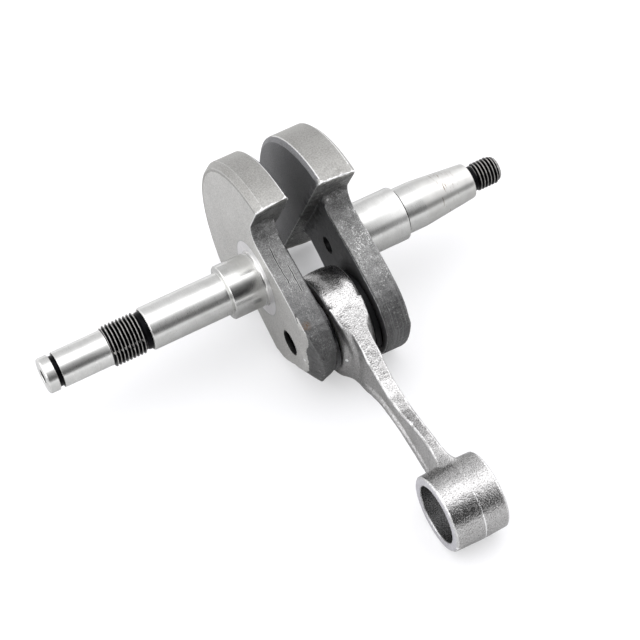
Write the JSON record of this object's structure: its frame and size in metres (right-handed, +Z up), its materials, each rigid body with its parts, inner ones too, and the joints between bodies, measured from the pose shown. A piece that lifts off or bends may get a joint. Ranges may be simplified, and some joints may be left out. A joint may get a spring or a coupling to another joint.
{
  "type": "crankshaft",
  "caption": "Pressed-together crankshaft with half-round counterweights, a caged needle big end and a forged connecting rod.",
  "frame": {"origin": "on the main axis, midway between the crank webs at the rod's nominal mid-plane", "axes": "+X along the main axis towards the flywheel end, +Z up with the part lying on its tongue corners and small end, +Y away from the small end"},
  "size_m": [0.1343, 0.1221, 0.0562],
  "materials": {
    "forged_steel": "fine-blasted forging, ground on the journals",
    "ground_steel": "ground",
    "blasted_steel": "coarse shot-blasted",
    "dark_steel": "oiled black",
    "roller_steel": "polished",
    "washer_steel": "polished black oxide"
  },
  "bodies": {
    "crank": {"clutch_side_crank_half": "forged_steel", "flywheel_side_crank_half": "forged_steel", "crank_pin": "ground_steel"},
    "rod": {"connecting_rod": "blasted_steel"},
    "cage": {"needle_cage": "dark_steel"},
    "clutch_washer": {"clutch_side_thrust_washer": "washer_steel"},
    "flywheel_washer": {"flywheel_side_thrust_washer": "washer_steel"},
    "roller_01": {"needle_roller_01": "roller_steel"},
    "roller_02": {"needle_roller_02": "roller_steel"},
    "roller_03": {"needle_roller_03": "roller_steel"},
    "roller_04": {"needle_roller_04": "roller_steel"},
    "roller_05": {"needle_roller_05": "roller_steel"},
    "roller_06": {"needle_roller_06": "roller_steel"},
    "roller_07": {"needle_roller_07": "roller_steel"},
    "roller_08": {"needle_roller_08": "roller_steel"},
    "roller_09": {"needle_roller_09": "roller_steel"},
    "roller_10": {"needle_roller_10": "roller_steel"},
    "roller_11": {"needle_roller_11": "roller_steel"},
    "roller_12": {"needle_roller_12": "roller_steel"},
    "roller_13": {"needle_roller_13": "roller_steel"},
    "roller_14": {"needle_roller_14": "roller_steel"}
  },
  "joints": [
    {"name": "rod_swing", "type": "hinge", "parent": "crank", "child": "rod", "pos_m": [0.0003, -0.01732, -0.00852], "axis": [1, 0, 0], "continuous": true},
    {"name": "cage_roll", "type": "hinge", "parent": "crank", "child": "cage", "pos_m": [0.0003, -0.01732, -0.00852], "axis": [1, 0, 0], "continuous": true},
    {"name": "clutch_washer_turn", "type": "hinge", "parent": "crank", "child": "clutch_washer", "pos_m": [0.0003, -0.01732, -0.00852], "axis": [1, 0, 0], "continuous": true},
    {"name": "flywheel_washer_turn", "type": "hinge", "parent": "crank", "child": "flywheel_washer", "pos_m": [0.0003, -0.01732, -0.00852], "axis": [1, 0, 0], "continuous": true},
    {"name": "roller_spin_01", "type": "hinge", "parent": "cage", "child": "roller_01", "pos_m": [0.0003, -0.02494, -0.01227], "axis": [1, 0, 0], "continuous": true},
    {"name": "roller_spin_02", "type": "hinge", "parent": "cage", "child": "roller_02", "pos_m": [0.0003, -0.02582, -0.00859], "axis": [1, 0, 0], "continuous": true},
    {"name": "roller_spin_03", "type": "hinge", "parent": "cage", "child": "roller_03", "pos_m": [0.0003, -0.02501, -0.0049], "axis": [1, 0, 0], "continuous": true},
    {"name": "roller_spin_04", "type": "hinge", "parent": "cage", "child": "roller_04", "pos_m": [0.0003, -0.02267, -0.00192], "axis": [1, 0, 0], "continuous": true},
    {"name": "roller_spin_05", "type": "hinge", "parent": "cage", "child": "roller_05", "pos_m": [0.0003, -0.01928, -0.00025], "axis": [1, 0, 0], "continuous": true},
    {"name": "roller_spin_06", "type": "hinge", "parent": "cage", "child": "roller_06", "pos_m": [0.0003, -0.0155, -0.00022], "axis": [1, 0, 0], "continuous": true},
    {"name": "roller_spin_07", "type": "hinge", "parent": "cage", "child": "roller_07", "pos_m": [0.0003, -0.01207, -0.00183], "axis": [1, 0, 0], "continuous": true},
    {"name": "roller_spin_08", "type": "hinge", "parent": "cage", "child": "roller_08", "pos_m": [0.0003, -0.00969, -0.00477], "axis": [1, 0, 0], "continuous": true},
    {"name": "roller_spin_09", "type": "hinge", "parent": "cage", "child": "roller_09", "pos_m": [0.0003, -0.00882, -0.00845], "axis": [1, 0, 0], "continuous": true},
    {"name": "roller_spin_10", "type": "hinge", "parent": "cage", "child": "roller_10", "pos_m": [0.0003, -0.00963, -0.01214], "axis": [1, 0, 0], "continuous": true},
    {"name": "roller_spin_11", "type": "hinge", "parent": "cage", "child": "roller_11", "pos_m": [0.0003, -0.01196, -0.01512], "axis": [1, 0, 0], "continuous": true},
    {"name": "roller_spin_12", "type": "hinge", "parent": "cage", "child": "roller_12", "pos_m": [0.0003, -0.01536, -0.01679], "axis": [1, 0, 0], "continuous": true},
    {"name": "roller_spin_13", "type": "hinge", "parent": "cage", "child": "roller_13", "pos_m": [0.0003, -0.01914, -0.01682], "axis": [1, 0, 0], "continuous": true},
    {"name": "roller_spin_14", "type": "hinge", "parent": "cage", "child": "roller_14", "pos_m": [0.0003, -0.02256, -0.01521], "axis": [1, 0, 0], "continuous": true}
  ],
  "couplings": [
    {"joint": "cage_roll", "follows": "rod_swing", "ratio": 0.5765},
    {"joint": "roller_spin_01", "follows": "rod_swing", "ratio": 3.3205},
    {"joint": "roller_spin_02", "follows": "rod_swing", "ratio": 3.3205},
    {"joint": "roller_spin_03", "follows": "rod_swing", "ratio": 3.3205},
    {"joint": "roller_spin_04", "follows": "rod_swing", "ratio": 3.3205},
    {"joint": "roller_spin_05", "follows": "rod_swing", "ratio": 3.3205},
    {"joint": "roller_spin_06", "follows": "rod_swing", "ratio": 3.3205},
    {"joint": "roller_spin_07", "follows": "rod_swing", "ratio": 3.3205},
    {"joint": "roller_spin_08", "follows": "rod_swing", "ratio": 3.3205},
    {"joint": "roller_spin_09", "follows": "rod_swing", "ratio": 3.3205},
    {"joint": "roller_spin_10", "follows": "rod_swing", "ratio": 3.3205},
    {"joint": "roller_spin_11", "follows": "rod_swing", "ratio": 3.3205},
    {"joint": "roller_spin_12", "follows": "rod_swing", "ratio": 3.3205},
    {"joint": "roller_spin_13", "follows": "rod_swing", "ratio": 3.3205},
    {"joint": "roller_spin_14", "follows": "rod_swing", "ratio": 3.3205}
  ]
}
